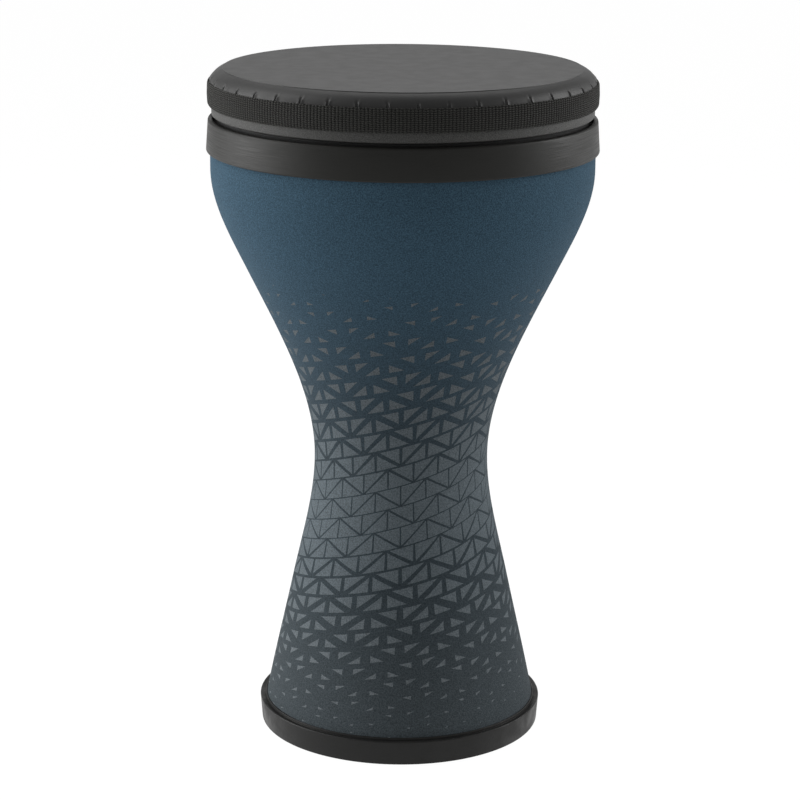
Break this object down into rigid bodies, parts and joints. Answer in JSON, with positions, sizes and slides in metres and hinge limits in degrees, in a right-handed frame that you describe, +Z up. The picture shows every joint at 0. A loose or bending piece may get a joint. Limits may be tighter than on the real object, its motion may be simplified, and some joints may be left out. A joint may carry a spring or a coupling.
{
  "type": "goblet drum",
  "caption": "Tall goblet drum with a printed fabric wrap, a plastic collar, a rubber foot ring and a press-on head with a woven band.",
  "frame": {"origin": "on the floor at the middle of the foot ring's flat underside", "axes": "+Z up along the drum's turning axis, from the foot to the head"},
  "size_m": [0.3638, 0.3638, 0.633],
  "materials": {
    "fibre": "raw moulded fibre composite",
    "printed_fabric": "blue fabric with grey triangles",
    "foot_rubber": "satin moulded rubber",
    "collar_plastic": "satin extruded plastic",
    "mouth_ply": "raw laminated ply",
    "seat_foam": "soft black seal",
    "hoop_fibre": "sand-textured grey fibre composite",
    "hoop_metal": "plain rolled channel",
    "head_film": "matte black coated film",
    "webbing": "black woven webbing"
  },
  "bodies": {
    "drum_body": {"shell": "fibre", "fabric_wrap": "printed_fabric", "foot_ring": "foot_rubber", "top_collar": "collar_plastic", "mouth_ring": "mouth_ply", "seat_gasket": "seat_foam"},
    "head": {"head_hoop": "hoop_fibre", "flesh_hoop": "hoop_metal", "head_film": "head_film", "webbing_band": "webbing"}
  },
  "joints": [
    {"name": "head_lift", "type": "slide", "parent": "drum_body", "child": "head", "axis": [0, 0, 1], "range_m": [0, 0.1]}
  ]
}
